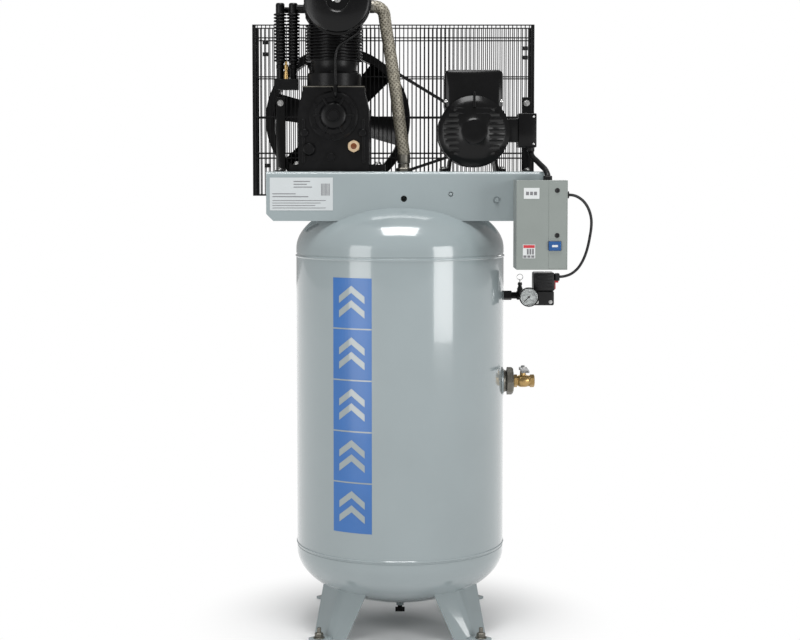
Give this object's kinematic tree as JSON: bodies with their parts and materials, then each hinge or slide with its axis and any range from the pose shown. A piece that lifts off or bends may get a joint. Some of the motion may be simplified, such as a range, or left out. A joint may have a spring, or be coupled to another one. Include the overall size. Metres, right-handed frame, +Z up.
{
  "type": "air compressor",
  "caption": "Vertical-tank two-stage piston air compressor with a belt-driven pump, motor, wire belt guard, starter and tank fittings.",
  "frame": {"origin": "on the floor under the tank's axis", "axes": "+Z up, +X towards the motor and the tank's fittings, -Y towards the front, where the starter and the gauge face"},
  "size_m": [0.9975, 0.624, 1.9065],
  "materials": {
    "grey_paint": "gloss grey enamel",
    "black_paint": "gloss black enamel",
    "cast_iron": "black painted casting",
    "guard_black": "satin black powder coat",
    "rubber": "matt",
    "brass": "machined",
    "steel": "zinc plated",
    "aluminium": "as cast",
    "hose_braid": "braided jacket",
    "enclosure": "satin grey-green",
    "plastic": "moulded",
    "button_blue": "moulded",
    "lever_red": "moulded",
    "gauge_white": "white dial in a black case",
    "winding": "enamelled copper on laminations"
  },
  "bodies": {
    "frame": {"tank": "grey_paint", "leg_front_left": "grey_paint", "leg_front_right": "grey_paint", "leg_rear_right": "grey_paint", "leg_rear_left": "grey_paint", "platform": "grey_paint", "drain_valve_body": "brass", "outlet_bushing": "steel", "ball_valve_body": "brass", "manifold": "brass", "gauge_case": "gauge_white", "tank_relief_valve": "brass", "pressure_switch_base": "plastic", "pressure_switch_cover": "plastic", "switch_cable_gland": "plastic", "starter_cable_gland": "plastic", "control_cable": "rubber", "starter_box": "enclosure", "starter_cover": "enclosure", "contactor": "plastic", "motor_conduit": "plastic", "crankcase": "cast_iron", "crankcase_cover": "cast_iron", "sight_glass": "brass", "oil_drain_plug": "steel", "breather_tube": "black_paint", "piston_first": "aluminium", "piston_second": "aluminium", "cylinder_first": "cast_iron", "cylinder_second": "cast_iron", "cylinder_head": "cast_iron", "filter_canister": "black_paint", "intercooler": "aluminium", "interstage_relief_valve": "brass", "discharge_elbow": "brass", "discharge_hose": "hose_braid", "tank_inlet_fitting": "brass", "drive_belt": "rubber", "motor_frame": "black_paint", "motor_front_bell": "black_paint", "motor_stator": "winding", "capacitor_box": "black_paint", "junction_box": "black_paint", "guard_front_panel": "guard_black", "guard_rear_cover": "guard_black", "guard_left_post": "black_paint", "guard_right_post": "black_paint"},
    "crank": {"crankshaft": "steel", "flywheel": "cast_iron"},
    "first_rod": {"rod_first": "aluminium"},
    "second_rod": {"rod_second": "aluminium"},
    "motor_shaft": {"motor_rotor": "steel", "motor_pulley": "cast_iron"},
    "valve_stem": {"ball_valve_ball": "steel", "ball_valve_handle": "steel"},
    "drain_knob": {"drain_valve_knob": "brass"},
    "needle": {"gauge_needle": "plastic"},
    "auto_lever": {"switch_lever": "lever_red"},
    "reset": {"reset_button": "button_blue"},
    "relief_ring": {"relief_pull_ring": "steel"}
  },
  "joints": [
    {"name": "crank_spin", "type": "hinge", "parent": "frame", "child": "crank", "pos_m": [-0.19, 0, 1.493], "axis": [0, 1, 0], "continuous": true},
    {"name": "first_crank_pin", "type": "hinge", "parent": "crank", "child": "first_rod", "pos_m": [-0.19, -0.077, 1.518], "axis": [0, 1, 0], "continuous": true},
    {"name": "second_crank_pin", "type": "hinge", "parent": "crank", "child": "second_rod", "pos_m": [-0.19, 0.073, 1.518], "axis": [0, 1, 0], "continuous": true},
    {"name": "motor_spin", "type": "hinge", "parent": "frame", "child": "motor_shaft", "pos_m": [0.2125, 0, 1.4483], "axis": [0, 1, 0], "continuous": true},
    {"name": "valve_turn", "type": "hinge", "parent": "frame", "child": "valve_stem", "pos_m": [0.364, 0, 0.715], "axis": [0, 0, 1], "range_deg": [0, 90]},
    {"name": "drain_turn", "type": "hinge", "parent": "frame", "child": "drain_knob", "pos_m": [0, 0, 0.0415], "axis": [0, 0, 1], "range_deg": [0, 360]},
    {"name": "needle_sweep", "type": "hinge", "parent": "frame", "child": "needle", "pos_m": [0.3755, -0.065, 0.969], "axis": [0, 1, 0], "range_deg": [0, 270], "stiffness_Nm_per_rad": 0.002},
    {"name": "lever_throw", "type": "hinge", "parent": "frame", "child": "auto_lever", "pos_m": [0.455, 0.01, 0.992], "axis": [1, 0, 0], "range_deg": [0, 40]},
    {"name": "button_press", "type": "slide", "parent": "frame", "child": "reset", "axis": [0, 1, 0], "range_m": [0, 0.003], "stiffness_N_per_m": 300},
    {"name": "ring_pull", "type": "slide", "parent": "frame", "child": "relief_ring", "axis": [0, 0, 1], "range_m": [0, 0.005], "stiffness_N_per_m": 500}
  ],
  "couplings": [
    {"joint": "first_crank_pin", "follows": "crank_spin", "ratio": -1},
    {"joint": "second_crank_pin", "follows": "crank_spin", "ratio": -1},
    {"joint": "motor_spin", "follows": "crank_spin", "ratio": 4.7473}
  ]
}
